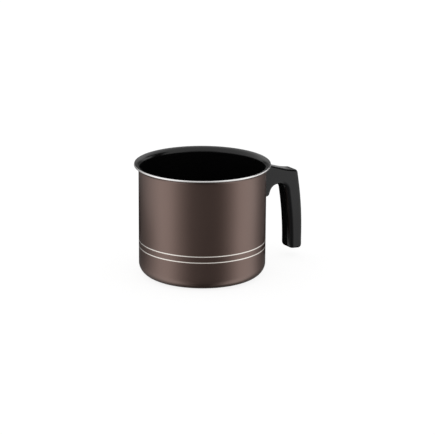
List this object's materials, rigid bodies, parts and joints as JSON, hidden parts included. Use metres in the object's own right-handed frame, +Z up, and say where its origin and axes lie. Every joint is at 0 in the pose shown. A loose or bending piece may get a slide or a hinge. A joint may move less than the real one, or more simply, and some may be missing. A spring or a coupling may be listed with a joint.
{
  "type": "milk pan",
  "caption": "Deep straight-sided milk pan with a flared pouring lip, fine lines scribed round the lower wall, and a black moulded side handle that is open at its foot.",
  "frame": {"origin": "centre of the flat base, on the surface that the pan stands on", "axes": "+Z up along the pan's own axis, +X out through the middle of the handle"},
  "size_m": [0.2079, 0.153, 0.1272],
  "materials": {
    "coated_aluminium": "brown pearl metallic coating outside, black non-stick coating inside, bare edge and scribed lines",
    "handle_plastic": "satin black moulded phenolic plastic",
    "fixing_steel": "zinc plated",
    "rivet": "non-stick coated head"
  },
  "bodies": {
    "root": {"pan_body": "coated_aluminium", "handle": "handle_plastic", "handle_bracket": "fixing_steel", "rivet_lower": "rivet", "rivet_upper": "rivet", "handle_screw": "fixing_steel"}
  },
  "joints": []
}
